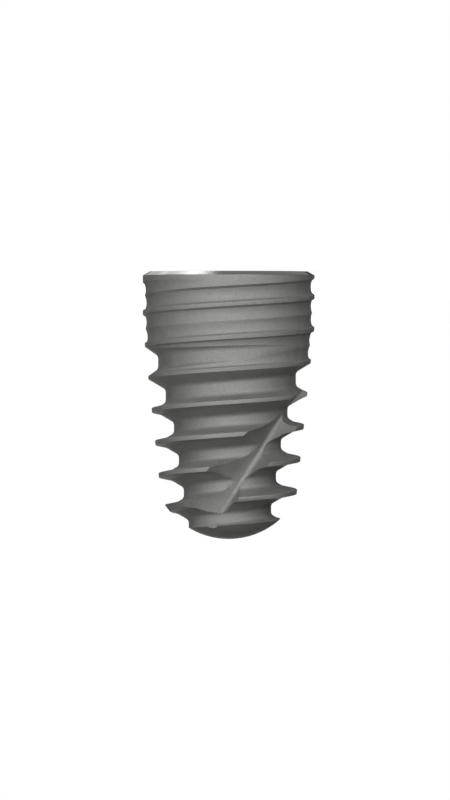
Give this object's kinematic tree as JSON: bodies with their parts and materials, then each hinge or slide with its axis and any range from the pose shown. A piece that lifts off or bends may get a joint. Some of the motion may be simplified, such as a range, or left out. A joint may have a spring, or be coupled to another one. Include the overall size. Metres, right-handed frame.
{
  "type": "dental implant",
  "caption": "Tapered titanium dental implant body with a finely grooved collar, a deep helical thread, helical cutting flutes and an internal hexagon socket.",
  "frame": {"origin": "centre of the flat platform at the wide end, where the screw axis crosses it", "axes": "+Z along the screw axis from the platform to the rounded apex, so the part stands on its platform; -Y faces the viewer of the picture; the picture shows the part the other way up, with the platform at the top"},
  "size_m": [0.0054, 0.0054, 0.0085],
  "materials": {
    "blasted_titanium": "matte"
  },
  "bodies": {
    "root": {"implant_body": "blasted_titanium"}
  },
  "joints": []
}
